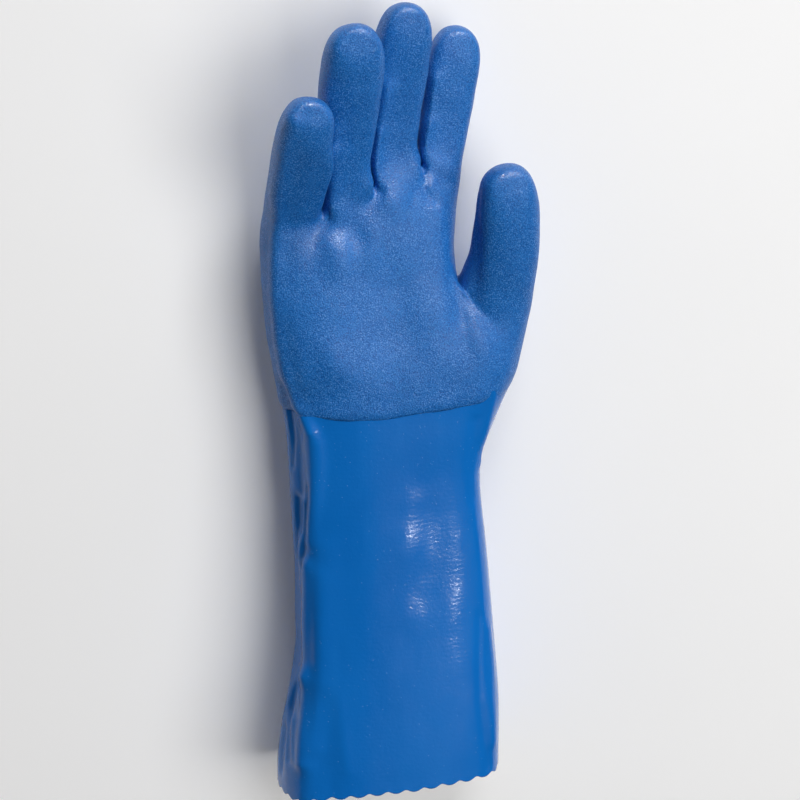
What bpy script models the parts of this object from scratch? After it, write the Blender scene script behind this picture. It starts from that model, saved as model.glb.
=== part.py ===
"""PVC coated work glove for the right hand, lying on its back with the palm up.

A dipped glove is formed on a hand-shaped former, so it keeps a relaxed hand's form when it is empty. It is
made here as two hollow pieces. The smooth gauntlet runs from the scalloped hem to the wrist. The rough-coated
hand, with its four fingers and thumb, laps over the top of the gauntlet, and its edge is the line round the
wrist. Both come from one skin: a coarse cage of lofted sections under a Subdivision Surface, split at the
coat's edge and thickened with Solidify.

Metres, +Z up out of the palm, +Y towards the fingertips, +X towards the thumb. The origin is on the surface
that the glove lies on, under the middle of its box.
"""

import math
from collections import namedtuple

import bmesh
import bpy
from mathutils import Vector

# Lengths along the glove
GAUNTLET_LENGTH = 0.175  # hem to the edge of the rough coat
PALM_LENGTH = 0.097  # edge of the rough coat to the crotch beside the middle finger
FINGER_LENGTH = 0.086  # middle finger, crotch to tip
THUMB_LENGTH = 0.092  # root of the thumb inside the palm to its tip

# Widths across the glove and depths from back to palm
HEM_WIDTH = 0.106
HEM_DEPTH = 0.063
WRIST_WIDTH = 0.0875
WRIST_DEPTH = 0.042
PALM_WIDTH = 0.0875
PALM_DEPTH = 0.041
FINGER_WIDTH = 0.0270
FINGER_DEPTH = 0.0235
THUMB_WIDTH = 0.0300
THUMB_DEPTH = 0.0272

# Walls, and the lap where the coated hand covers the top of the gauntlet
GAUNTLET_WALL = 0.0013
HAND_WALL = 0.0016
LAP_LENGTH = 0.008
LIP_THICKNESS = 0.0006
SEAT_GAP = 0.0003
TUCK_RUN = 0.020  # below the coat's edge, where the gauntlet draws in to pass under it

# Pinked hem
SCALLOP_COUNT = 34
SCALLOP_DEPTH = 0.0016
HEM_CUTS = 5  # extra points on each edge of the hem

REST_FLAT = 0.0004  # how far the back flattens where it lies on the surface
SKIN_LEVELS = 1
DIGIT_SWELL = 1.09  # an eight-sided cage shrinks by this much when it is subdivided

COLUMNS = 9  # cage points across the palm, and across the back: two for each finger and one over
CORNER_ANGLE = 39  # degrees, from the side of a section to its first palm point

GAUNTLET_COLOUR = (0.004, 0.125, 0.42, 1.0)
COAT_COLOUR = (0.022, 0.145, 0.43, 1.0)

# Gauntlet sections. station: share of GAUNTLET_LENGTH from the hem. width, depth: 0 at the wrist's size and
# 1 at the hem's. shift: the middle's move towards the thumb, as a share of WRIST_WIDTH. lift: the back's
# height, as a share of WRIST_DEPTH. rake: how far the thumb's side stands nearer the hand than the other, as
# a share of the width. square: the superellipse's power.
GauntletRow = namedtuple("GauntletRow", "station width depth shift lift rake square")
GAUNTLET = (
    GauntletRow(0.000, 1.00, 1.00, 0.022, 0.000, 0.060, 3.2),
    GauntletRow(0.070, 0.98, 0.95, 0.026, 0.000, 0.055, 3.2),
    GauntletRow(0.200, 0.74, 0.82, 0.058, 0.000, 0.030, 3.2),
    GauntletRow(0.360, 0.46, 0.64, 0.060, 0.000, 0.000, 3.1),
    GauntletRow(0.540, 0.32, 0.42, 0.054, 0.012, 0.000, 3.0),
    GauntletRow(0.700, 0.20, 0.20, 0.034, 0.040, 0.000, 2.9),
    GauntletRow(0.820, 0.12, 0.06, 0.010, 0.070, 0.000, 2.8),
    GauntletRow(0.920, 0.56, 0.04, 0.048, 0.070, 0.000, 2.7),
)

# Palm sections. station: share of PALM_LENGTH from the coat's edge; the second row's is set by LAP_LENGTH.
# left, right: edges from the middle line, as shares of PALM_WIDTH. back, palm: heights, as shares of
# PALM_DEPTH.
PalmRow = namedtuple("PalmRow", "station left right back palm square")
PALM = (
    PalmRow(0.000, -0.558, 0.696, 0.060, 1.130, 2.6),
    PalmRow(None, -0.573, 0.744, 0.045, 1.140, 2.5),
    PalmRow(0.190, -0.598, 0.766, 0.020, 1.160, 2.6),
    PalmRow(0.360, -0.622, 0.650, 0.000, 1.140, 2.6),
    PalmRow(0.530, -0.632, 0.438, 0.000, 1.070, 2.4),
    PalmRow(0.690, -0.626, 0.400, 0.000, 1.000, 2.4),
)
THUMB_ROW = 2  # the palm row where the thumb's base starts; it takes two rows

# Knuckle ring, one row for each of the columns from the little finger's side to the index finger's. across:
# share of PALM_WIDTH. along: share of PALM_LENGTH. palm, back: heights as shares of PALM_DEPTH.
KnuckleRow = namedtuple("KnuckleRow", "across along palm back")
KNUCKLES = (
    KnuckleRow(-0.590, 0.800, 0.700, 0.170),
    KnuckleRow(-0.470, 0.835, 0.880, 0.060),
    KnuckleRow(-0.325, 0.855, 0.800, 0.110),
    KnuckleRow(-0.200, 0.915, 0.900, 0.050),
    KnuckleRow(-0.075, 0.965, 0.800, 0.110),
    KnuckleRow(0.040, 1.010, 0.880, 0.060),
    KnuckleRow(0.162, 1.050, 0.760, 0.130),
    KnuckleRow(0.276, 0.990, 0.780, 0.090),
    KnuckleRow(0.386, 0.930, 0.640, 0.200),
)
SIDE_OUT = 0.035  # how far the ring's two side points stand out, as a share of PALM_WIDTH
WEB_HEIGHT = 0.45  # middle of the web between two fingers, as a share of PALM_DEPTH
WEB_REACH = 0.010  # how far the web's middle stands beyond its palm end, as a share of PALM_LENGTH

# Fingers. length, width, depth: shares of the finger sizes. root and tip across, root along and the heights:
# shares of PALM_WIDTH, PALM_LENGTH and PALM_DEPTH. neck: the width at the root, as a share of the finger's.
# bow: how far the middle sags below the straight line from root to tip, as a share of the finger's length,
# which gives it its curl.
FingerRow = namedtuple(
    "FingerRow", "name length width neck depth root_across root_along root_up tip_across tip_up bow"
)
FINGERS = (
    FingerRow("little", 0.830, 0.95, 0.82, 0.90, -0.474, 0.850, 0.58, -0.406, 1.56, 0.02),
    FingerRow("ring", 1.050, 1.10, 0.64, 1.00, -0.194, 0.920, 0.54, -0.182, 1.42, 0.03),
    FingerRow("middle", 1.005, 1.00, 0.78, 1.00, 0.044, 0.980, 0.43, 0.110, 1.00, 0.05),
    FingerRow("index", 0.860, 0.93, 0.84, 0.92, 0.294, 0.955, 0.36, 0.404, 0.58, 0.03),
)

NECK_END = 0.72  # share of a finger's length at which it has its full width

# Rings of a finger and of the thumb. station: share of the way from root to tip. width, depth: shares of the
# digit's own.
RingRow = namedtuple("RingRow", "station width depth")
FINGER_RINGS = (
    RingRow(0.160, 1.00, 0.96),
    RingRow(0.360, 1.00, 0.98),
    RingRow(0.580, 1.00, 1.00),
    RingRow(0.790, 0.97, 0.93),
    RingRow(0.925, 0.73, 0.70),
)
THUMB_RINGS = (
    RingRow(0.350, 1.19, 1.08),
    RingRow(0.510, 1.05, 1.04),
    RingRow(0.680, 1.00, 1.00),
    RingRow(0.840, 0.96, 0.92),
    RingRow(0.945, 0.72, 0.70),
)
# The thumb's root, bend and tip: across, along and up as shares of PALM_WIDTH, THUMB_LENGTH and PALM_DEPTH.
# along counts from the root.
THUMB_ROOT = (0.420, -0.02, 0.50)
THUMB_BEND = (0.715, 0.36, 0.72)
THUMB_TIP = (0.556, 0.970, 1.14)
THUMB_START = 0.205  # the root's place, as a share of PALM_LENGTH from the coat's edge

# Dents and rises of the palm's skin. across, along: the centre, as shares of PALM_WIDTH and PALM_LENGTH.
# wide, long: reach, as shares of the same. depth: inwards, as a share of PALM_DEPTH, so a rise is negative.
# turn: degrees that the long way leans towards the thumb.
DentRow = namedtuple("DentRow", "across along wide long depth turn")
DENTS = (
    DentRow(0.000, 0.420, 0.28, 0.34, 0.060, -15),
    DentRow(0.360, 0.400, 0.08, 0.20, 0.120, -12),
    DentRow(-0.330, 0.790, 0.07, 0.13, 0.055, 10),
    DentRow(-0.105, 0.880, 0.06, 0.12, 0.050, 0),
)

# Dents of the gauntlet. across: share of WRIST_WIDTH. along: share of GAUNTLET_LENGTH. depth: share of
# WRIST_DEPTH.
GAUNTLET_DENTS = (
    DentRow(0.160, 0.640, 0.20, 0.26, 0.035, 8),
    DentRow(-0.060, 0.560, 0.14, 0.34, -0.020, 0),
    DentRow(-0.440, 0.720, 0.045, 0.14, 0.060, 4),
    DentRow(-0.500, 0.200, 0.060, 0.20, 0.080, -10),
    DentRow(-0.350, 0.100, 0.080, 0.18, 0.040, -6),
    DentRow(0.520, 0.340, 0.045, 0.20, 0.070, 2),
)

Section = namedtuple("Section", "y left right back palm rake square")

GAUNTLET_FACE = 0
LAP_FACE = 1
HAND_FACE = 2


def clear_scene():
    for old in list(bpy.data.objects):
        bpy.data.objects.remove(old)


def gauntlet_sections():
    """The sleeve's sections from the hem up to the wrist."""
    sections = []
    for row in GAUNTLET:
        width = WRIST_WIDTH + row.width * (HEM_WIDTH - WRIST_WIDTH)
        depth = WRIST_DEPTH + row.depth * (HEM_DEPTH - WRIST_DEPTH)
        middle = row.shift * WRIST_WIDTH
        back = row.lift * WRIST_DEPTH
        sections.append(
            Section(
                row.station * GAUNTLET_LENGTH,
                middle - width / 2,
                middle + width / 2,
                back,
                back + depth,
                row.rake,
                row.square,
            )
        )
    return sections


def palm_sections():
    """The hand's sections from the coat's edge up to below the knuckles."""
    sections = []
    for row in PALM:
        along = LAP_LENGTH if row.station is None else row.station * PALM_LENGTH
        sections.append(
            Section(
                GAUNTLET_LENGTH + along,
                row.left * PALM_WIDTH,
                row.right * PALM_WIDTH,
                row.back * PALM_DEPTH,
                row.palm * PALM_DEPTH,
                0.0,
                row.square,
            )
        )
    return sections


def section_angles():
    """Angles of a section's cage points: palm from left to right, side, back from right to left, side."""
    step = (180 - 2 * CORNER_ANGLE) / (COLUMNS - 1)
    palm = [180 - CORNER_ANGLE - step * column for column in range(COLUMNS)]
    back = [-angle for angle in reversed(palm)]
    return [*palm, 0, *back, 180]


def section_ring(section):
    """The cage points of one section, on a superellipse."""
    half_width = (section.right - section.left) / 2
    half_depth = (section.palm - section.back) / 2
    middle = Vector(((section.left + section.right) / 2, section.y, (section.back + section.palm) / 2))
    points = []
    for angle in section_angles():
        across = math.cos(math.radians(angle))
        up = math.sin(math.radians(angle))
        power = 2 / section.square
        out = half_width * math.copysign(abs(across) ** power, across)
        rise = half_depth * math.copysign(abs(up) ** power, up)
        points.append(middle + Vector((out, section.rake * (half_width + out), rise)))
    return points


def hand_point(across, along, up):
    """A point given as shares of the palm's width, length and depth."""
    return Vector((across * PALM_WIDTH, GAUNTLET_LENGTH + along * PALM_LENGTH, up * PALM_DEPTH))


def knuckle_ring():
    """The ring that the fingers grow from, in the order of a section's points."""
    palm = [hand_point(row.across, row.along, row.palm) for row in KNUCKLES]
    back = [hand_point(row.across, row.along, row.back) for row in KNUCKLES]
    left, right = KNUCKLES[0], KNUCKLES[-1]
    index_side = hand_point(right.across + SIDE_OUT, right.along, WEB_HEIGHT)
    little_side = hand_point(left.across - SIDE_OUT, left.along, WEB_HEIGHT)
    return [*palm, index_side, *reversed(back), little_side]


def web_points():
    """The middle point of the web between each two fingers."""
    crotches = KNUCKLES[2:-1:2]
    return [hand_point(row.across, row.along + WEB_REACH, WEB_HEIGHT) for row in crotches]


def bezier(root, bend, tip, share):
    """Point and direction on a quadratic curve."""
    point = root.lerp(bend, share).lerp(bend.lerp(tip, share), share)
    direction = bend.lerp(tip, share) - root.lerp(bend, share)
    return point, direction.normalized()


def digit_ring(centre, direction, width, depth):
    """Eight cage points round a finger: palm side from left to right, side, back from right to left, side."""
    up = Vector((0, 0, 1))
    up = (up - up.dot(direction) * direction).normalized()
    across = direction.cross(up)
    points = []
    for angle in (135, 90, 45, 0, -45, -90, -135, 180):
        points.append(
            centre
            + across * (DIGIT_SWELL * width / 2 * math.cos(math.radians(angle)))
            + up * (DIGIT_SWELL * depth / 2 * math.sin(math.radians(angle)))
        )
    return points


def finger_path(row):
    """Root, bend and tip of one finger's middle line."""
    root = hand_point(row.root_across, row.root_along, row.root_up)
    length = row.length * FINGER_LENGTH
    rise = (row.tip_up - row.root_up) * PALM_DEPTH
    lean = (row.tip_across - row.root_across) * PALM_WIDTH
    tip = root + Vector((lean, math.sqrt(length**2 - rise**2 - lean**2), rise))
    bend = root.lerp(tip, 0.5) - Vector((0, 0, 2 * row.bow * length))
    return root, bend, tip


def thumb_path():
    """Root, bend and tip of the thumb's middle line."""
    root_y = GAUNTLET_LENGTH + THUMB_START * PALM_LENGTH
    return [
        Vector((across * PALM_WIDTH, root_y + along * THUMB_LENGTH, up * PALM_DEPTH))
        for across, along, up in (THUMB_ROOT, THUMB_BEND, THUMB_TIP)
    ]


def loft(mesh, below, above, face_kind):
    """Quads between two closed rings of as many points. None leaves a gap in a ring."""
    count = len(below)
    for i in range(count):
        corners = (below[i], below[(i + 1) % count], above[(i + 1) % count], above[i])
        if None not in corners:
            mesh.faces.new(corners).material_index = face_kind


def add_points(mesh, points):
    return [mesh.verts.new(point) for point in points]


def close_tip(mesh, ring, point):
    """Four quads from a ring of eight to the point at a digit's tip."""
    tip = mesh.verts.new(point)
    for i in range(0, len(ring), 2):
        mesh.faces.new((ring[i - 1], ring[i], ring[i + 1], tip)).material_index = HAND_FACE


def grow_digit(mesh, base, path, rings, width, neck, depth):
    """A finger or the thumb, from its ring of eight base points to its closed tip."""
    below = base
    for row in rings:
        centre, direction = bezier(*path, row.station)
        fill = neck + (1 - neck) * min(1, row.station / NECK_END)
        ring = add_points(mesh, digit_ring(centre, direction, row.width * fill * width, row.depth * depth))
        loft(mesh, below, ring, HAND_FACE)
        below = ring
    close_tip(mesh, below, path[-1])


def thumb_base(rows):
    """The ring of eight points round the thumb's hole in the palm's side, in a digit ring's order."""
    corner = COLUMNS - 1
    side = COLUMNS
    heel = COLUMNS + 1
    low, middle, high = rows
    return [
        high[corner],
        middle[corner],
        low[corner],
        low[side],
        low[heel],
        middle[heel],
        high[heel],
        high[side],
    ]


def finger_base(knuckles, webs, number):
    """The ring of eight points that one finger grows from, in a digit ring's order."""
    last = len(FINGERS) - 1
    first_column = 2 * number
    palm = knuckles[first_column : first_column + 3]
    back_start = 2 * COLUMNS - first_column - 2
    back = knuckles[back_start : back_start + 3]
    index_side = knuckles[COLUMNS] if number == last else webs[number]
    little_side = knuckles[-1] if number == 0 else webs[number - 1]
    return [*palm, index_side, *back, little_side]


def build_cage():
    """The coarse cage of the whole glove's outer skin, open at the hem."""
    mesh = bmesh.new()
    gauntlet = [add_points(mesh, section_ring(section)) for section in gauntlet_sections()]
    palm = [add_points(mesh, section_ring(section)) for section in palm_sections()]
    knuckles = add_points(mesh, knuckle_ring())
    webs = add_points(mesh, web_points())

    hole = palm[THUMB_ROW + 1][COLUMNS]
    base = thumb_base(palm[THUMB_ROW : THUMB_ROW + 3])
    palm[THUMB_ROW + 1][COLUMNS] = None
    mesh.verts.remove(hole)

    rings = [*gauntlet, *palm, knuckles]
    kinds = [GAUNTLET_FACE] * len(gauntlet) + [LAP_FACE] + [HAND_FACE] * (len(palm) - 1)
    for below, above, kind in zip(rings, rings[1:], kinds):
        loft(mesh, below, above, kind)

    grow_digit(mesh, base, thumb_path(), THUMB_RINGS, THUMB_WIDTH, 1, THUMB_DEPTH)
    for number, row in enumerate(FINGERS):
        grow_digit(
            mesh,
            finger_base(knuckles, webs, number),
            finger_path(row),
            FINGER_RINGS,
            row.width * FINGER_WIDTH,
            row.neck,
            row.depth * FINGER_DEPTH,
        )
    bmesh.ops.recalc_face_normals(mesh, faces=mesh.faces)
    return mesh


def subdivided(mesh):
    """The cage under a Subdivision Surface, as a new bmesh."""
    data = bpy.data.meshes.new("cage")
    mesh.to_mesh(data)
    mesh.free()
    cage = bpy.data.objects.new("cage", data)
    bpy.context.scene.collection.objects.link(cage)
    modifier = cage.modifiers.new("skin", "SUBSURF")
    modifier.levels = SKIN_LEVELS
    modifier.render_levels = SKIN_LEVELS
    bpy.context.view_layer.update()
    evaluated = cage.evaluated_get(bpy.context.evaluated_depsgraph_get())
    smooth = bpy.data.meshes.new_from_object(evaluated)
    skin = bmesh.new()
    skin.from_mesh(smooth)
    bpy.data.objects.remove(cage)
    bpy.data.meshes.remove(smooth)
    return skin


def press_dents(skin, rows, width, start, length, depth):
    """Moves the palm side's skin down or up round each dent's centre."""
    for vertex in skin.verts:
        facing = max(0.0, vertex.normal.z)
        move = 0.0
        for row in rows:
            turn = math.radians(row.turn)
            across = vertex.co.x - row.across * width
            along = vertex.co.y - start - row.along * length
            side = across * math.cos(turn) - along * math.sin(turn)
            ahead = across * math.sin(turn) + along * math.cos(turn)
            reach = (side / (row.wide * width)) ** 2 + (ahead / (row.long * length)) ** 2
            move += row.depth * depth * math.exp(-2 * reach)
        vertex.co.z -= move * facing
    skin.normal_update()


def flatten_back(skin):
    """Flattens the skin where it lies on the surface, and brings that surface to height 0."""
    floor = min(vertex.co.z for vertex in skin.verts) + REST_FLAT
    for vertex in skin.verts:
        vertex.co.z = max(vertex.co.z, floor) - floor
    skin.normal_update()


def part_of(skin, left_out):
    """A copy of the skin without the faces of one kind."""
    part = skin.copy()
    faces = [face for face in part.faces if face.material_index == left_out]
    bmesh.ops.delete(part, geom=faces, context="FACES")
    return part


def tuck_gauntlet(gauntlet):
    """Draws the gauntlet's top in, so that it passes under the coat's lip with the seat's gap."""
    tuck = LIP_THICKNESS + SEAT_GAP
    moves = []
    for vertex in gauntlet.verts:
        below = max(0.0, GAUNTLET_LENGTH - vertex.co.y)
        share = max(0.0, 1 - below / TUCK_RUN)
        moves.append(-tuck * share * share * (3 - 2 * share) * vertex.normal)
    for vertex, move in zip(gauntlet.verts, moves):
        vertex.co += move


def loop_from(edge, start):
    """The points of a closed boundary in order, from one of its points."""
    points = [start]
    while True:
        following = edge.other_vert(points[-1])
        if following is start:
            return points
        points.append(following)
        edge = next(e for e in following.link_edges if e.is_boundary and e is not edge)


def scallop_hem(gauntlet):
    """Pinks the hem: one wave for each scallop, evenly along the edge."""
    top = GAUNTLET_LENGTH / 2
    hem = [e for e in gauntlet.edges if e.is_boundary and e.verts[0].co.y < top]
    bmesh.ops.subdivide_edges(gauntlet, edges=hem, cuts=HEM_CUTS)
    start = next(v for v in gauntlet.verts if v.is_boundary and v.co.y < top)
    points = loop_from(next(e for e in start.link_edges if e.is_boundary), start)
    lengths = [(b.co - a.co).length for a, b in zip(points, points[1:] + points[:1])]
    turn = 2 * math.pi * SCALLOP_COUNT / sum(lengths)
    walked = 0.0
    for point, length in zip(points, lengths):
        point.co.y += SCALLOP_DEPTH / 2 * (1 + math.cos(turn * walked))
        walked += length


def make_material(name, colour, roughness):
    material = bpy.data.materials.new(name)
    material.use_nodes = True
    shader = material.node_tree.nodes["Principled BSDF"]
    shader.inputs["Base Color"].default_value = colour
    shader.inputs["Roughness"].default_value = roughness
    shader.inputs["Metallic"].default_value = 0.0
    return material


def make_shell(name, skin, wall, material, collection):
    """An object from a piece of skin, thickened inwards into a closed wall."""
    data = bpy.data.meshes.new(name)
    skin.to_mesh(data)
    data.materials.clear()
    data.materials.append(material)
    for polygon in data.polygons:
        polygon.material_index = 0
    data.shade_smooth()
    shell = bpy.data.objects.new(name, data)
    collection.objects.link(shell)
    solidify = shell.modifiers.new("wall", "SOLIDIFY")
    solidify.thickness = wall
    solidify.offset = -1
    solidify.use_quality_normals = True
    return shell


def make_gauntlet(skin, collection):
    gauntlet = part_of(skin, HAND_FACE)
    tuck_gauntlet(gauntlet)
    scallop_hem(gauntlet)
    smooth_pvc = make_material("smooth_pvc", GAUNTLET_COLOUR, 0.32)
    shell = make_shell("smooth_gauntlet", gauntlet, GAUNTLET_WALL, smooth_pvc, collection)
    gauntlet.free()
    return shell


def make_hand(skin, collection):
    """The coated hand. Along the lap only the coat's lip is left of its wall."""
    hand = part_of(skin, GAUNTLET_FACE)
    hand.verts.index_update()
    lap = {v.index for face in hand.faces if face.material_index == LAP_FACE for v in face.verts}
    rough_pvc = make_material("rough_pvc", COAT_COLOUR, 0.6)
    shell = make_shell("rough_hand", hand, HAND_WALL, rough_pvc, collection)
    wall = shell.vertex_groups.new(name="wall")
    for index in range(len(hand.verts)):
        share = LIP_THICKNESS / HAND_WALL if index in lap else 1.0
        wall.add([index], share, "REPLACE")
    solidify = shell.modifiers["wall"]
    solidify.vertex_group = wall.name
    solidify.thickness_vertex_group = 0.0
    hand.free()
    return shell


def centre_on_origin(shells):
    """Moves the pieces together, so that the middle of their box is over the origin."""
    bpy.context.view_layer.update()
    graph = bpy.context.evaluated_depsgraph_get()
    corners = [Vector(c) for shell in shells for c in shell.evaluated_get(graph).bound_box]
    middle = [(min(c[axis] for c in corners) + max(c[axis] for c in corners)) / 2 for axis in (0, 1)]
    for shell in shells:
        shell.location = (-middle[0], -middle[1], 0)


def main():
    clear_scene()
    collection = bpy.data.collections.new("pvc_coated_work_glove")
    bpy.context.scene.collection.children.link(collection)
    skin = subdivided(build_cage())
    press_dents(skin, DENTS, PALM_WIDTH, GAUNTLET_LENGTH, PALM_LENGTH, PALM_DEPTH)
    press_dents(skin, GAUNTLET_DENTS, WRIST_WIDTH, 0.0, GAUNTLET_LENGTH, WRIST_DEPTH)
    flatten_back(skin)
    shells = [make_gauntlet(skin, collection), make_hand(skin, collection)]
    skin.free()
    centre_on_origin(shells)


main()
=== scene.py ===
"""PVC coated work glove for the right hand, lying on its back with the palm up.

The frame holds the glove's two walls as plain solids. Here each wall's outer skin is taken from its
solid, refined, pressed with the folds and creases of a dipped glove, and given its wall and finish.
Metres, +Z up out of the palm, +Y towards the fingertips, +X towards the thumb.
"""

import math
from collections import namedtuple

import bmesh
import bpy
import numpy as np
from mathutils import Matrix, Vector, noise
from mathutils.kdtree import KDTree


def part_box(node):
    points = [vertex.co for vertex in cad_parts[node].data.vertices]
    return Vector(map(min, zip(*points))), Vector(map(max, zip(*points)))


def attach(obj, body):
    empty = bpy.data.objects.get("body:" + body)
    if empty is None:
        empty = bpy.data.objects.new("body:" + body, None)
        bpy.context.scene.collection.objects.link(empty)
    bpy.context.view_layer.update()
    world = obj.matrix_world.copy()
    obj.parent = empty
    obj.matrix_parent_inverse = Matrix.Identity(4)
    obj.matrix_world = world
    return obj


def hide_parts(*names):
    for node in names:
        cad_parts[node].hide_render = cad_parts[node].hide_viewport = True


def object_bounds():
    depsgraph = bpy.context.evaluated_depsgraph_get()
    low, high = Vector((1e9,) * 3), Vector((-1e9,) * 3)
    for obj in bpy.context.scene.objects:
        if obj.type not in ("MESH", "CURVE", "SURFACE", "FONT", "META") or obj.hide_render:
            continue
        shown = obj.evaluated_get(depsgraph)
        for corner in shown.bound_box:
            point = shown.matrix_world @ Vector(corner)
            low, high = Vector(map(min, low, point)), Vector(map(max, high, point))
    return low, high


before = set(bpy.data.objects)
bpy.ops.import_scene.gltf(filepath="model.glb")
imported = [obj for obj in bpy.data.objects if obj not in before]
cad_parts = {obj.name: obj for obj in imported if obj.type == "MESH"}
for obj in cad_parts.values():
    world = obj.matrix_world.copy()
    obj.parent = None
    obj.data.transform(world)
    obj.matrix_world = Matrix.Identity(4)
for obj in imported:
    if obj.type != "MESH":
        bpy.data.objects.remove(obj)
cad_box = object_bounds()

# Gauntlet
# The sleeve is the first dip: smooth, glossy PVC on a knitted cotton liner, formed on a hand-shaped
# former. It is thin enough to crumple, and its hem is cut with pinking shears once the PVC has set.
GAUNTLET_WALL = 0.0013
GAUNTLET_LEVELS = 3
WELD = 1e-6
RIM_FACING = 0.6  # a rim's face looks at least this much along the glove
RIM_REACH = 0.009  # the raked hem reaches this far along the glove
JOIN_ANGLE = math.radians(60)  # two triangles within this angle become a quad
HEM_SPAN = 0.006  # a little over half a scallop
HEM_TRIM = 0.0005  # the lobes end this much above the solid's
HEM_ROW = 0.003  # rows of the mesh above the hem stand further apart than this
SCALLOPS = 34
SCALLOP_DEPTH = 0.0014
SCALLOP_SWELL = 0.16  # makes the lobes wider than the arches between them
HEM_GRADE = 0.007  # above the hem, where the mesh stops following the scallops
HEM_HALF = 0.5 * cad_box[0].y  # of the sleeve's two open ends, only the hem lies beyond this
SLEEVE_RISE = 0.0012  # how far the shoulders beside a crown are lifted
FINGER_RISE = 0.0022
RISE_SPAN = (0.012, 0.060)  # along the glove, where the one rise turns into the other

MM = 0.001
NARROW = 2.6  # mm; a fold of this width or less gets a finer mesh
FINE_REACH = 2.2  # the finer mesh reaches this many widths from the fold's line
NO_LENGTH = 1e-12

# A fold has a line through points in mm and a width in mm. It lifts the skin by a height in mm, or
# shifts everything above its place on the map by a way in mm.
Fold = namedtuple("Fold", "line width height")
Shift = namedtuple("Shift", "line width way")


def outer_skin(node, open_ends):
    """A node's outer skin as quads. The rims at its open ends are cut out to free the inside."""
    low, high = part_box(node)
    end_places = {-1: low.y, 1: high.y}
    skin = bmesh.new()
    skin.from_mesh(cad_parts[node].data)
    bmesh.ops.remove_doubles(skin, verts=skin.verts, dist=WELD)
    rims = {
        face
        for face in skin.faces
        for way in open_ends
        if face.normal.y * way > RIM_FACING
        and abs(face.calc_center_median().y - end_places[way]) < RIM_REACH
    }
    bmesh.ops.delete(skin, geom=list(rims), context="FACES")
    top = max(skin.faces, key=lambda face: face.calc_center_median().z)
    outside = {top}
    growing = [top]
    while growing:
        beside = {other for edge in growing.pop().edges for other in edge.link_faces}
        growing.extend(beside - outside)
        outside |= beside
    inside = [face for face in skin.faces if face not in outside]
    bmesh.ops.delete(skin, geom=inside, context="FACES")
    bmesh.ops.join_triangles(
        skin, faces=skin.faces, angle_face_threshold=JOIN_ANGLE, angle_shape_threshold=JOIN_ANGLE
    )
    return skin


def refined(skin, levels):
    """The skin under a Subdivision Surface, as a new bmesh."""
    data = bpy.data.meshes.new("skin")
    skin.to_mesh(data)
    skin.free()
    cage = bpy.data.objects.new("skin", data)
    bpy.context.scene.collection.objects.link(cage)
    modifier = cage.modifiers.new("smooth", "SUBSURF")
    modifier.levels = modifier.render_levels = levels
    bpy.context.view_layer.update()
    evaluated = cage.evaluated_get(bpy.context.evaluated_depsgraph_get())
    smooth = bpy.data.meshes.new_from_object(evaluated)
    fine = bmesh.new()
    fine.from_mesh(smooth)
    bpy.data.objects.remove(cage)
    bpy.data.meshes.remove(smooth)
    bpy.data.meshes.remove(data)
    fine.normal_update()
    return fine


def away_from(places, line):
    """How far each place lies from a line through points in mm."""
    points = [MM * np.array(point) for point in line]
    nearest = np.full(len(places), np.inf)
    for start, end in zip(points, points[1:] or points):
        run = end - start
        along = np.clip((places - start) @ run / max(run @ run, NO_LENGTH), 0, 1)
        nearest = np.minimum(nearest, np.linalg.norm(places - start - along[:, None] * run, axis=1))
    return nearest


def finer(skin, folds):
    """Halves the mesh round the narrow folds, so that their creases come out crisp."""
    places = np.array([vertex.co for vertex in skin.verts])
    near = np.zeros(len(places), bool)
    for fold in folds:
        if fold.width <= NARROW:
            near |= away_from(places, fold.line) < FINE_REACH * MM * fold.width
    skin.verts.index_update()
    edges = [edge for edge in skin.edges if all(near[vertex.index] for vertex in edge.verts)]
    bmesh.ops.subdivide_edges(skin, edges=edges, cuts=1, use_grid_fill=True)
    skin.normal_update()


def press(skin, folds):
    """Raises the skin along each fold's line, or presses it in where the height is negative."""
    places = np.array([vertex.co for vertex in skin.verts])
    move = np.zeros(len(places))
    for fold in folds:
        widths = away_from(places, fold.line) / (MM * fold.width)
        move += MM * fold.height * np.exp(-(widths**2))
    for vertex, height in zip(skin.verts, move.tolist()):
        vertex.co += height * vertex.normal
    skin.normal_update()


def shift(skin, shifts):
    """Shifts the skin round each line, at every height alike, so that nothing in it crosses."""
    flat = np.array([1, 1, 0])
    places = np.array([vertex.co for vertex in skin.verts]) * flat
    move = np.zeros_like(places)
    for item in shifts:
        widths = away_from(places, [flat * point for point in item.line]) / (MM * item.width)
        move += MM * np.exp(-(widths**2))[:, None] * item.way
    for vertex, way in zip(skin.verts, move.tolist()):
        vertex.co += Vector(way)
    skin.normal_update()


def raise_webs(skin, webs):
    """Lifts the fingers beside the gaps between them, most at the gap, to leave narrow gaps."""
    flat = np.array([1, 1, 0])
    places = np.array([vertex.co for vertex in skin.verts]) * flat
    rise = np.zeros(len(places))
    for web in webs:
        widths = away_from(places, web.line) / (MM * web.width)
        rise = np.maximum(rise, MM * web.height * np.exp(-widths))
    for vertex, height in zip(skin.verts, rise.tolist()):
        vertex.co.z += height
    skin.normal_update()


def square_shoulders(skin):
    """Lifts the slopes beside each crown: the glove gets a flat front and steep sides."""
    for vertex in skin.verts:
        up = max(0.0, vertex.normal.z)
        rise = float(np.interp(vertex.co.y, RISE_SPAN, (SLEEVE_RISE, FINGER_RISE)))
        vertex.co.z += rise * 4 * up * (1 - up)
    skin.normal_update()


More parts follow.
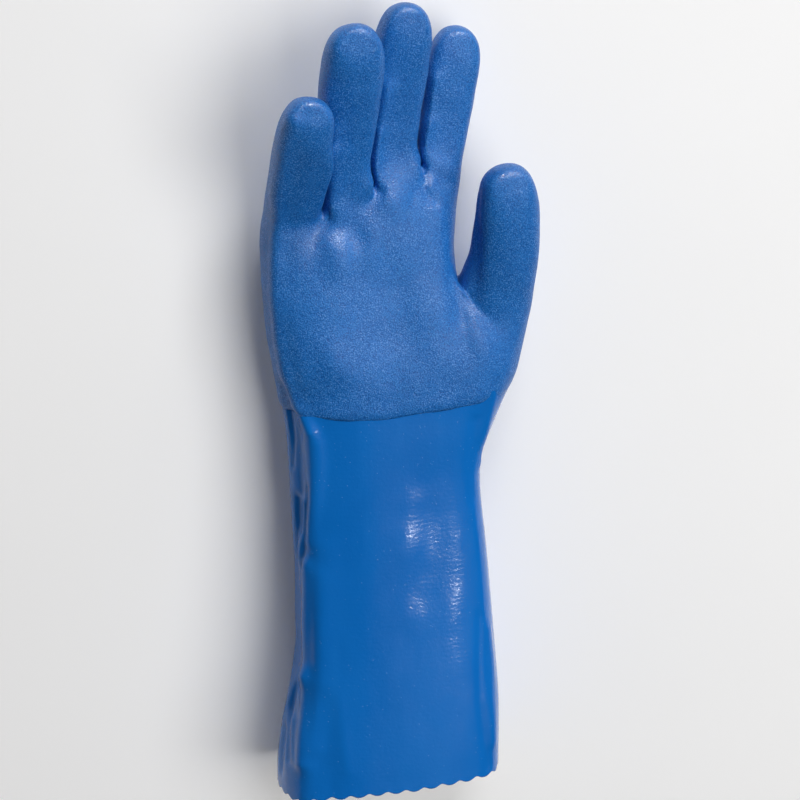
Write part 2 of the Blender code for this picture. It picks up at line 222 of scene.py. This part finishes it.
def renew_hem(skin):
    """Replaces the last band of faces, with its cut edge, by a plain one as deep as the cut."""
    hem = [v for v in skin.verts if v.is_boundary and v.co.y < cad_box[0].y + RIM_REACH]
    cut = KDTree(len(hem))
    for number, vertex in enumerate(hem):
        cut.insert((vertex.co.x, 0, vertex.co.z), number)
    cut.balance()
    depths = [vertex.co.y for vertex in hem]
    band = {face for vertex in hem for face in vertex.link_faces}
    bmesh.ops.delete(skin, geom=list(band), context="FACES")
    edges = [e for e in skin.edges if e.is_boundary and e.verts[0].co.y < HEM_HALF]
    grown = bmesh.ops.extrude_edge_only(skin, edges=edges)["geom"]
    for vertex in [item for item in grown if isinstance(item, bmesh.types.BMVert)]:
        above = next(e.other_vert(vertex) for e in vertex.link_edges if not e.is_boundary)
        beside = [e.other_vert(above) for e in above.link_edges]
        upper = next(v for v in beside if v is not vertex and abs(v.co.y - above.co.y) > HEM_ROW)
        slope = above.co - upper.co
        near = cut.find_range((above.co.x, 0, above.co.z), HEM_SPAN)
        lowest = min(depths[number] for _, number, _ in near) + HEM_TRIM
        vertex.co = above.co + slope * ((lowest - above.co.y) / slope.y)


def hem_loop(skin):
    """The hem's points in order round the sleeve, from the middle of its back."""
    hem = [v for v in skin.verts if v.is_boundary and v.co.y < HEM_HALF]
    first = min(hem, key=lambda v: abs(v.co.x) + v.co.z)
    points = [first]
    edge = next(e for e in first.link_edges if e.is_boundary)
    while True:
        following = edge.other_vert(points[-1])
        if following is first:
            return points
        points.append(following)
        edge = next(e for e in following.link_edges if e.is_boundary and e is not edge)


def pink_hem(skin):
    """Cuts the scallops: round lobes between arches, one wave after another along the edge."""
    loop = hem_loop(skin)
    steps = [(b.co - a.co).length for a, b in zip(loop, loop[1:] + loop[:1])]
    walked = np.concatenate([[0], np.cumsum(steps)[:-1]]) / sum(steps)
    near = KDTree(len(loop))
    for number, vertex in enumerate(loop):
        near.insert((vertex.co.x, 0, vertex.co.z), number)
    near.balance()
    edge_y = [vertex.co.y for vertex in loop]
    for vertex in skin.verts:
        if vertex.co.y > HEM_HALF:
            continue
        number = near.find((vertex.co.x, 0, vertex.co.z))[1]
        height = vertex.co.y - edge_y[number]
        if height > HEM_GRADE:
            continue
        turn = SCALLOPS * walked[number] * 2 * math.pi
        wave = 0.5 + 0.5 * math.cos(turn + SCALLOP_SWELL * 2 * math.sin(turn))
        share = 1 - max(0.0, height) / HEM_GRADE
        vertex.co.y += SCALLOP_DEPTH * wave * share * share
    skin.normal_update()


def piece_from(name, skin, finishes):
    """An object of the finished skin, at the origin."""
    data = bpy.data.meshes.new(name)
    skin.to_mesh(data)
    skin.free()
    for finish in finishes:
        data.materials.append(finish)
    data.shade_smooth()
    piece = bpy.data.objects.new(name, data)
    bpy.context.scene.collection.objects.link(piece)
    return piece


class Wire:
    """One socket of a finish. Arithmetic on it becomes the finish's own Math nodes."""

    def __init__(self, finish, socket):
        self.finish = finish
        self.socket = socket

    def sum_of(self, operation, first, second):
        return self.finish.add("Math", {"operation": operation}, {0: first, 1: second})

    def __add__(self, other):
        return self.sum_of("ADD", self, other)

    def __radd__(self, other):
        return self.sum_of("ADD", other, self)

    def __sub__(self, other):
        return self.sum_of("SUBTRACT", self, other)

    def __rsub__(self, other):
        return self.sum_of("SUBTRACT", other, self)

    def __mul__(self, other):
        return self.sum_of("MULTIPLY", self, other)

    def __rmul__(self, other):
        return self.sum_of("MULTIPLY", other, self)

    def between(self, low, high):
        """0 below low, 1 above high, and a smooth step from one to the other."""
        return self.finish.add(
            "MapRange", {"interpolation_type": "SMOOTHSTEP"}, {0: self, 1: low, 2: high}
        )


WAVE_BAND = 0.16  # a Wave texture has bands this wide at a scale of 1


class Finish:
    """A material with its Principled shader, and the nodes that vary it."""

    def __init__(self, name, roughness, specular, coat=0.0, coat_roughness=0.1):
        self.material = bpy.data.materials.new(name)
        self.material.use_nodes = True
        self.nodes = self.material.node_tree.nodes
        self.links = self.material.node_tree.links
        self.shader = self.nodes["Principled BSDF"]
        self.feed("Roughness", roughness)
        self.feed("Specular IOR Level", specular)
        self.feed("Coat Weight", coat)
        self.feed("Coat Roughness", coat_roughness)

    def join(self, value, socket):
        if isinstance(value, Wire):
            self.links.new(value.socket, socket)
        else:
            socket.default_value = value

    def feed(self, socket, value):
        self.join(value, self.shader.inputs[socket])

    def add(self, kind, settings, inputs, output=0):
        """Adds one node with its settings, then the values or wires of its sockets."""
        node = self.nodes.new("ShaderNode" + kind)
        for setting, value in settings.items():
            setattr(node, setting, value)
        for socket, value in inputs.items():
            self.join(value, node.inputs[socket])
        return Wire(self, node.outputs[output])

    def place(self, stretch=(1, 1, 1)):
        """The piece's own coordinates in metres, stretched along its axes."""
        own = self.add("TexCoord", {}, {}, "Object")
        return self.add("Mapping", {}, {"Vector": own, "Scale": stretch})

    def noise(self, size, detail=2, rough=0.5, stretch=(1, 1, 1)):
        """Soft noise whose blobs are about this size, from 0 to 1."""
        place = self.place(stretch)
        inputs = {"Vector": place, "Scale": 1 / size, "Detail": detail, "Roughness": rough}
        return self.add("TexNoise", {}, inputs)

    def grains(self, size):
        """0 at the middle of each grain and rising to its edge."""
        return self.add("TexVoronoi", {}, {"Vector": self.place(), "Scale": 1 / size})

    def ribs(self, way, width, wander, detail, detail_scale=1.0):
        """Soft ribs and grooves of this width, one after another along X or Y."""
        return self.add("TexWave", {"bands_direction": way}, {
            "Vector": self.place(), "Scale": WAVE_BAND / width, "Distortion": wander,
            "Detail": detail, "Detail Scale": detail_scale,
        }, "Fac")

    def mix(self, share, first, second):
        """A colour that goes from the first to the second."""
        return self.add("Mix", {"data_type": "RGBA"}, {0: share, 6: first, 7: second}, 2)

    def bump(self, height, depth, under=None):
        """A relief of this depth in metres, on top of a relief under it."""
        inputs = {"Height": height, "Distance": depth, "Strength": 1.0}
        if under is not None:
            inputs["Normal"] = under
        return self.add("Bump", {}, inputs, "Normal")


def paint(red, green, blue):
    """A colour as the eye sees it, out of 255, in the shader's linear light."""
    linear = [
        c / 12.92 if c <= 0.04045 else ((c + 0.055) / 1.055) ** 2.4
        for c in (red / 255, green / 255, blue / 255)
    ]
    return (*linear, 1.0)


def smooth_pvc():
    """Deep blue glossy PVC with lighter streaks of painted sheen: the liner's ribs and the dip's
    specks show faintly in its shine.
    """
    finish = Finish("smooth_pvc", 0.3, specular=0.22, coat=0.1, coat_roughness=0.38)
    cloud = finish.noise(0.045, detail=3, stretch=(1, 0.5, 1))
    # Lighter streaks along the glove are painted sheen: a faint gloss painted into the colour.
    sheen_streak = finish.noise(0.012, detail=2, stretch=(1, 0.12, 1))
    speck = finish.grains(0.0021).between(0.16, 0.05) * finish.noise(0.004).between(0.48, 0.6)
    base = finish.mix(cloud.between(0.3, 0.7), paint(0, 103, 188), paint(8, 110, 196))
    base = finish.mix(sheen_streak.between(0.5, 0.8) * 0.4, base, paint(18, 115, 200))
    finish.feed("Base Color", finish.mix(speck * 0.55, base, paint(96, 156, 220)))
    ribs = finish.ribs("Y", 0.0011, wander=4.0, detail=2.0, detail_scale=1.5)
    finish.feed("Roughness", 0.08 + 0.15 * finish.noise(0.008, detail=3))
    relief = finish.bump(finish.noise(0.022, detail=2, stretch=(1, 0.6, 1)), 0.0006)
    relief = finish.bump(ribs * finish.noise(0.006), 0.000012, relief)
    relief = finish.bump(finish.noise(0.0013, detail=2), 0.00006, relief)
    finish.feed("Normal", finish.bump(speck, 0.00004, relief))
    return finish.material


def knit_face():
    """The liner's inner face: undyed cotton jersey, in fine ribs along the glove."""
    finish = Finish("cotton_liner", 0.9, specular=0.2)
    ribs = finish.ribs("X", 0.0011, wander=1.0, detail=1.0)
    loops = finish.ribs("Y", 0.0010, wander=2.0, detail=1.0)
    weave = ribs * loops
    finish.feed("Base Color", finish.mix(weave, paint(198, 196, 189), paint(226, 224, 217)))
    finish.feed("Normal", finish.bump(weave + 0.3 * finish.noise(0.002), 0.0002))
    return finish.material


def cut_edge():
    """The cut through PVC and cotton at the hem: matt, and darker than the skin."""
    finish = Finish("cut_edge", 0.7, specular=0.3)
    fibre = finish.noise(0.0006, detail=3)
    finish.feed("Base Color", finish.mix(fibre, paint(6, 54, 112), paint(26, 84, 150)))
    finish.feed("Normal", finish.bump(fibre, 0.0001))
    return finish.material


# On the little finger's side the flat front turns into a steep side along an edge, which the coat
# shares. Below the wrist that side crumples, is drawn tight, and opens again towards the hem.
SIDE_FOLDS = (
    Fold([(-51, 131, 61), (-53, 115, 52), (-54.5, 95, 40), (-55, 74, 33), (-54.5, 48, 34),
          (-53.5, 31, 35), (-50, 8, 36), (-46, -1, 38), (-42, -9, 40)], 3.4, 2.1),
    Fold([(-40, -15, 41), (-39.5, -26, 41), (-40.5, -40, 41), (-43, -58, 39)], 4.0, 1.3),
    Fold([(-50, 8, 31), (-46.8, -4, 33), (-45.6, -20, 34), (-45.4, -38, 34), (-46, -54, 33)],
         4.6, -2.3),
)
GAUNTLET_SHIFTS = (
    # The wrist is drawn in at the thumb's side, and the hem hangs lower at its far corner.
    Shift([(37, -24, 0)], 7, (-0.8, 0, 0)),
    Shift([(-56, -172, 0)], 10, (0, -2.5, 0)),
    # The little finger's side flares towards the hem, and is drawn in above that.
    Shift([(-53, -148, 0)], 12, (-1.2, 0, 0)),
    Shift([(-55, -165, 0)], 9, (-1.0, 0, 0)),
    Shift([(-50, -112, 0)], 9, (0.9, 0, 0)),
    # The middle of the hem hangs a little lower.
    Shift([(3, -168, 0)], 14, (0, -0.5, 0)),
)
GAUNTLET_FOLDS = SIDE_FOLDS + (
    # The front's edge rolls outwards, and the side is tucked in under it.
    Fold([(-44.6, -70, 40), (-45.4, -90, 41), (-46, -108, 42.5), (-46.8, -120, 45)], 4.2, 2.4),
    Fold([(-46.8, -120, 45), (-47.6, -132, 47), (-48, -146, 49.5), (-48.4, -158, 51.5)], 4.2, 2.2),
    Fold([(-47, -78, 28), (-47.6, -92, 28), (-48.2, -112, 28), (-49, -122, 28)], 8.0, -2.3),
    # A low swell and a dent in the front catch the light.
    Fold([(0, -63, 47.5)], 12, 1.0),
    Fold([(20, -79, 49.5)], 11, -0.25),
    # Creases run along the side below the wrist.
    Fold([(-43.1, -34, 38.2), (-43.7, -59, 38), (-44.9, -72, 36)], 1.6, -1.3),
    Fold([(-44.6, -42, 36.2), (-45.2, -60, 35), (-46.3, -71, 33), (-47, -82, 29)], 2.2, 0.9),
    Fold([(-47.2, -42, 30), (-47.4, -62, 29), (-47.2, -70, 29)], 1.9, -1.5),
    Fold([(-50.1, -2, 30), (-48.6, -15, 30), (-48.4, -28, 28)], 1.6, -1.2),
    # Creases run out to the hem where the side opens again.
    Fold([(-48.7, -122, 31), (-50.2, -137, 31), (-51.5, -147, 27)], 1.7, 1.4),
    Fold([(-49.8, -128, 34), (-51.2, -146, 36), (-52.2, -160, 42)], 1.8, -1.5),
    Fold([(-50.2, -142, 40), (-51.2, -158, 46)], 1.8, 0.9),
    Fold([(-53, -150, 31), (-54, -167, 35)], 3.0, -1.6),
    # The thumb's side has a long shallow groove with a ridge beside it, and a pair at the wrist.
    Fold([(32.2, -96, 49), (31.2, -116, 52), (31.1, -134, 55), (32.7, -152, 56.5), (34, -165, 57)],
         2.2, -0.5),
    Fold([(36.8, -104, 46), (37.2, -118, 46.5), (36.5, -135, 51.5), (37.4, -154, 54)], 3.4, 0.8),
    Fold([(38.5, 4, 40), (36.5, -14, 38), (34.5, -29, 36)], 3.0, 0.8),
    Fold([(31, -8, 42), (30, -26, 42), (31, -44, 42)], 2.8, -0.4),
    # Long soft ridges run down the front.
    Fold([(-37, -62, 45), (-38, -120, 51)], 6.0, 0.7),
    Fold([(-40, -74, 45.5), (-40.6, -92, 47.5), (-41.4, -116, 50), (-42.6, -150, 53.5)], 4.5, 0.8),
    Fold([(2, -42, 46), (1, -62, 48), (-1.5, -92, 51)], 7, 0.5),
    Fold([(-33, -128, 54.5), (-30, -160, 59)], 3.0, 0.3),
)

gauntlet_skin = outer_skin("smooth_gauntlet", (-1, 1))
renew_hem(gauntlet_skin)
gauntlet_skin = refined(gauntlet_skin, GAUNTLET_LEVELS)
square_shoulders(gauntlet_skin)
shift(gauntlet_skin, GAUNTLET_SHIFTS)
press(gauntlet_skin, GAUNTLET_FOLDS)
pink_hem(gauntlet_skin)
liner_finish = knit_face()
gauntlet = piece_from("gauntlet", gauntlet_skin, (smooth_pvc(), liner_finish, cut_edge()))
wall = gauntlet.modifiers.new("wall", "SOLIDIFY")
wall.thickness = GAUNTLET_WALL
wall.offset = -1
wall.use_quality_normals = True
wall.material_offset = 1
wall.material_offset_rim = 2
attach(gauntlet, "root")
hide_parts("smooth_gauntlet")

# Coated hand
# The second dip covers the hand, fingers and thumb in a thicker coat, blown with grit while it is
# wet, so that it sets rough and matt. It ends at the wrist in a low round lip.
HAND_WALL = 0.0016
HAND_LEVELS = 2
LIP_THICKNESS = 0.0006
LIP_END = 0.0085  # along the glove, where the coat takes its full thickness
LIP_ROUND = 0.004
LIP_SINK = 0.00095
RIPPLE_SIZE = 0.011  # the coat's soft patches
RIPPLE_DEPTH = 0.0004


def rough_pvc():
    """Lighter blue sandy PVC: mottled grains under a millimetre across, glossier at their tips,
    with painted highlight on the tips and painted shade in the hollows between them.
    """
    finish = Finish("rough_pvc", 0.4, specular=0.35)
    cloud = finish.noise(0.02, detail=3)
    mottle = finish.noise(0.0022, detail=2, rough=0.6)
    grain = finish.noise(0.0006, detail=1, rough=0.7)
    base = finish.mix(cloud.between(0.3, 0.7), paint(4, 101, 182), paint(14, 109, 192))
    base = finish.mix(mottle.between(0.35, 0.7) * 0.22, base, paint(36, 120, 198))
    # The grains' raised tips are painted lighter, a painted highlight, and the hollows between them
    # darker, a painted shade.
    base = finish.mix(grain.between(0.5, 0.7) * 0.55, base, paint(104, 160, 224))
    base = finish.mix(grain.between(0.49, 0.32) * 0.62, base, paint(0, 58, 134))
    finish.feed("Base Color", base)
    patch = finish.noise(0.013, detail=2).between(0.48, 0.6)
    finish.feed("Roughness", 0.45 - grain.between(0.5, 0.62) * (0.14 + 0.24 * patch))
    relief = finish.bump(mottle, 0.0001)
    finish.feed("Normal", finish.bump(grain, 0.00024, relief))
    return finish.material


def sink_edge(skin):
    """Rounds the coat's skin in towards the sleeve along its open edge."""
    rim = [vertex for vertex in skin.verts if vertex.is_boundary]
    edge = KDTree(len(rim))
    for number, vertex in enumerate(rim):
        edge.insert(vertex.co, number)
    edge.balance()
    for vertex in skin.verts:
        if vertex.co.y < LIP_END + LIP_ROUND:
            share = 1 - min(1.0, edge.find(vertex.co)[2] / LIP_ROUND)
            vertex.co -= LIP_SINK * share * share * vertex.normal
    skin.normal_update()


def ripple(skin, size, depth):
    """Lets the coat run thicker and thinner in soft patches of this size, but not where it lies."""
    for vertex in skin.verts:
        share = min(1.0, max(0.0, vertex.co.z / size))
        vertex.co += depth * share * noise.noise(vertex.co / size) * vertex.normal
    skin.normal_update()


# The coat bridges the fingers at their roots, and creases where they bend on the former.
HAND_SHIFTS = (
    # The gaps between the fingers end nearer to the thumb and the wrist.
    Shift([(-36, 87, 0), (-35, 95, 0), (-33, 108, 0)], 7, (2.6, -1.6, 0)),
    Shift([(-14, 96, 0)], 7, (3.0, -2.0, 0)),
    Shift([(8, 103, 0)], 7, (3.2, -1.6, 0)),
    # The palm is drawn in below the little finger.
    Shift([(-60, 82, 0)], 14, (1.3, 0, 0)),
    # The coat's edge sags in the middle and rises at the thumb's side.
    Shift([(-16, -1, 0)], 26, (0, -3.6, 0)),
    Shift([(46, 2, 0)], 12, (0, 1.8, 0)),
)
WEBS = (
    Fold([(-34, 90, 0), (-33.2, 102, 0), (-31.8, 114, 0)], 3.2, 5.5),
    Fold([(-32, 112, 0), (-31, 122, 0)], 3.0, 2.0),
    Fold([(-12, 98, 0), (-10.6, 112, 0), (-9.6, 120, 0)], 3.2, 5.0),
    Fold([(-9.4, 120, 0), (-7, 139, 0)], 3.0, 2.8),
    Fold([(11, 105, 0), (12, 114, 0), (13.2, 122, 0)], 3.2, 4.6),
    Fold([(13.4, 123, 0), (15.6, 141, 0)], 3.0, 2.8),
)
HAND_FOLDS = SIDE_FOLDS + (
    # Fuller fingers beside each gap, and a pit at its end.
    Fold([(-34, 94, 31), (-32.4, 107, 35), (-30.6, 121, 42)], 6, 0.45),
    Fold([(-11.5, 102, 25), (-9.4, 118, 27), (-7, 138, 33), (-6.5, 149, 36)], 6, 0.35),
    Fold([(11.6, 109, 19), (13.4, 123, 20), (15, 134, 22), (16.3, 148, 23)], 6, 0.3),
    Fold([(-33.7, 86, 35), (-33.4, 83.6, 35.5)], 1.6, -2.4),
    Fold([(-12, 95.4, 33), (-9.6, 93.8, 35)], 1.7, -2.0),
    Fold([(10.5, 102, 27), (11.4, 97, 30)], 1.6, -1.2),
    # Wrinkles at the index finger's root.
    Fold([(10.4, 94.0, 31), (12.2, 90.6, 32), (15.6, 87.6, 32)], 1.8, -1.0),
    Fold([(13.0, 95, 30.6)], 3.0, 0.6),
    Fold([(13, 107, 25), (22, 101, 26)], 3.2, 1.0),
    Fold([(14, 99.5, 28), (22, 95.5, 27)], 3.4, -1.0),
    Fold([(14, 86, 33), (17, 81, 34)], 3.0, 0.5),
    # The palm's hollow, and the lobes round it.
    Fold([(-4, 52, 41), (-3, 36, 42)], 17, -2.6),
    Fold([(-32, 20, 42.5)], 9, 1.8),
    Fold([(-18, 92, 34), (-14.9, 84, 35), (-14.6, 66, 39)], 5.0, 1.0),
    Fold([(-31, 80, 35), (-23, 79, 37), (-20.5, 74, 38)], 5.0, -1.4),
    Fold([(-27, 69, 39), (-28, 64, 39.5)], 7.0, 1.3),
    Fold([(-4, 89, 35.5)], 5.5, 1.3),
    # The valley and the ridge on the thumb's way into the palm.
    Fold([(30.4, 92, 40), (31.5, 68, 40), (31, 46, 38)], 4.0, -1.4),
    Fold([(25.5, 43, 37), (29, 32, 40.5), (33, 25, 43)], 7.0, 1.0),
    # Dents across the ring and middle fingers.
    Fold([(-31, 142, 54), (-24, 143, 55)], 6.0, -0.6),
    Fold([(-3, 142, 38)], 6.0, -0.5),
)

hand_skin = outer_skin("rough_hand", (-1,))
hand_skin = refined(hand_skin, HAND_LEVELS)
finer(hand_skin, HAND_FOLDS)
square_shoulders(hand_skin)
shift(hand_skin, HAND_SHIFTS)
raise_webs(hand_skin, WEBS)
press(hand_skin, HAND_FOLDS)
ripple(hand_skin, RIPPLE_SIZE, RIPPLE_DEPTH)
sink_edge(hand_skin)
hand_skin.verts.index_update()
lip_points = [vertex.index for vertex in hand_skin.verts if vertex.co.y < LIP_END]
hand = piece_from("coated_hand", hand_skin, (rough_pvc(), liner_finish))
lip = hand.vertex_groups.new(name="wall")
lip.add(range(len(hand.data.vertices)), 1.0, "REPLACE")
lip.add(lip_points, LIP_THICKNESS / HAND_WALL, "REPLACE")
wall = hand.modifiers.new("wall", "SOLIDIFY")
wall.thickness = HAND_WALL
wall.offset = -1
wall.use_quality_normals = True
wall.vertex_group = lip.name
wall.material_offset = 1
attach(hand, "root")
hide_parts("rough_hand")

# Floor
# A plain sheet of pale paper, in one flat face. It is level with the back of the glove and reaches
# past every view.
FLOOR_SIZE = 8.0
FLOOR_GLOW = 0.06  # the paper glows evenly by itself, which keeps it near white and lightens the shadows on it


def pale_floor():
    """Matt off-white paper with a barely visible tooth, glowing faintly white though it is no lamp.
    """
    finish = Finish("pale_floor", 0.9, specular=0.2)
    tone = finish.noise(0.15, detail=3)
    finish.feed("Base Color", finish.mix(tone, paint(246, 246, 246), paint(250, 250, 250)))
    # The paper glows white by itself: a painted glow, not a lamp.
    finish.feed("Emission Color", paint(255, 255, 255))
    finish.feed("Emission Strength", FLOOR_GLOW)
    return finish.material


floor_mesh = bmesh.new()
bmesh.ops.create_grid(floor_mesh, x_segments=1, y_segments=1, size=FLOOR_SIZE / 2)
floor = piece_from("floor", floor_mesh, (pale_floor(),))

# Camera
# The camera looks down on the palm from the little finger's side and a little from the fingertips.
# Its long lens keeps the glove's sides nearly parallel.
CAMERA_YAW = math.radians(12)
CAMERA_PITCH = math.radians(16)
CAMERA_DISTANCE = 1.186
CAMERA_LENS = 122
CAMERA_SENSOR = 36
CAMERA_TARGET = Vector((0, 0, 0.030))

back = Vector((
    -math.sin(CAMERA_YAW) * math.cos(CAMERA_PITCH),
    math.sin(CAMERA_PITCH),
    math.cos(CAMERA_YAW) * math.cos(CAMERA_PITCH),
))
right = Vector((0, 1, 0)).cross(back).normalized()
up = back.cross(right)
camera = bpy.data.objects.new("camera", bpy.data.cameras.new("camera"))
bpy.context.scene.collection.objects.link(camera)
camera.data.lens = CAMERA_LENS
camera.data.sensor_width = CAMERA_SENSOR
camera.matrix_world = Matrix.Translation(CAMERA_TARGET + CAMERA_DISTANCE * back) @ Matrix(
    (right, up, back)
).transposed().to_4x4()
bpy.context.scene.camera = camera

# Lights
# A softbox stands above the thumb's side and another past the fingertips, each with a small bulb
# for the gloss. The side of the little finger is left to the fill from the pale room.
FILL_COLOUR = (1.0, 0.95, 0.93, 1.0)
FILL_STRENGTH = 0.09
HAND_AIM = (0, 0.1, 0)


def lamp(name, place, aim, size, power, shines):
    """A square light: a softbox that isn't seen in the gloss, or a bulb that only shines in it."""
    data = bpy.data.lights.new(name, "AREA")
    data.size = size
    data.energy = power
    light = bpy.data.objects.new(name, data)
    light.location = place
    light.visible_glossy = shines
    light.visible_diffuse = not shines
    light.rotation_mode = "QUATERNION"
    light.rotation_quaternion = (Vector(aim) - Vector(place)).to_track_quat("-Z", "Y")
    bpy.context.scene.collection.objects.link(light)


lamp("key_softbox", (0.85, 0.10, 1.75), (0, 0, 0), size=1.5, power=24.5, shines=False)
lamp("key_bulb", (0.84, -0.02, 1.80), (0, 0, 0), size=0.12, power=7.0, shines=True)
lamp("top_softbox", (0.25, 1.70, 0.95), HAND_AIM, size=0.8, power=19, shines=False)
lamp("top_bulb", (0.38, 1.58, 1.00), HAND_AIM, size=0.26, power=74, shines=True)
world = bpy.data.worlds.new("pale_room")
world.use_nodes = True
fill = world.node_tree.nodes["Background"]
fill.inputs["Color"].default_value = FILL_COLOUR
fill.inputs["Strength"].default_value = FILL_STRENGTH
bpy.context.scene.world = world
bpy.context.scene.view_settings.view_transform = "Standard"
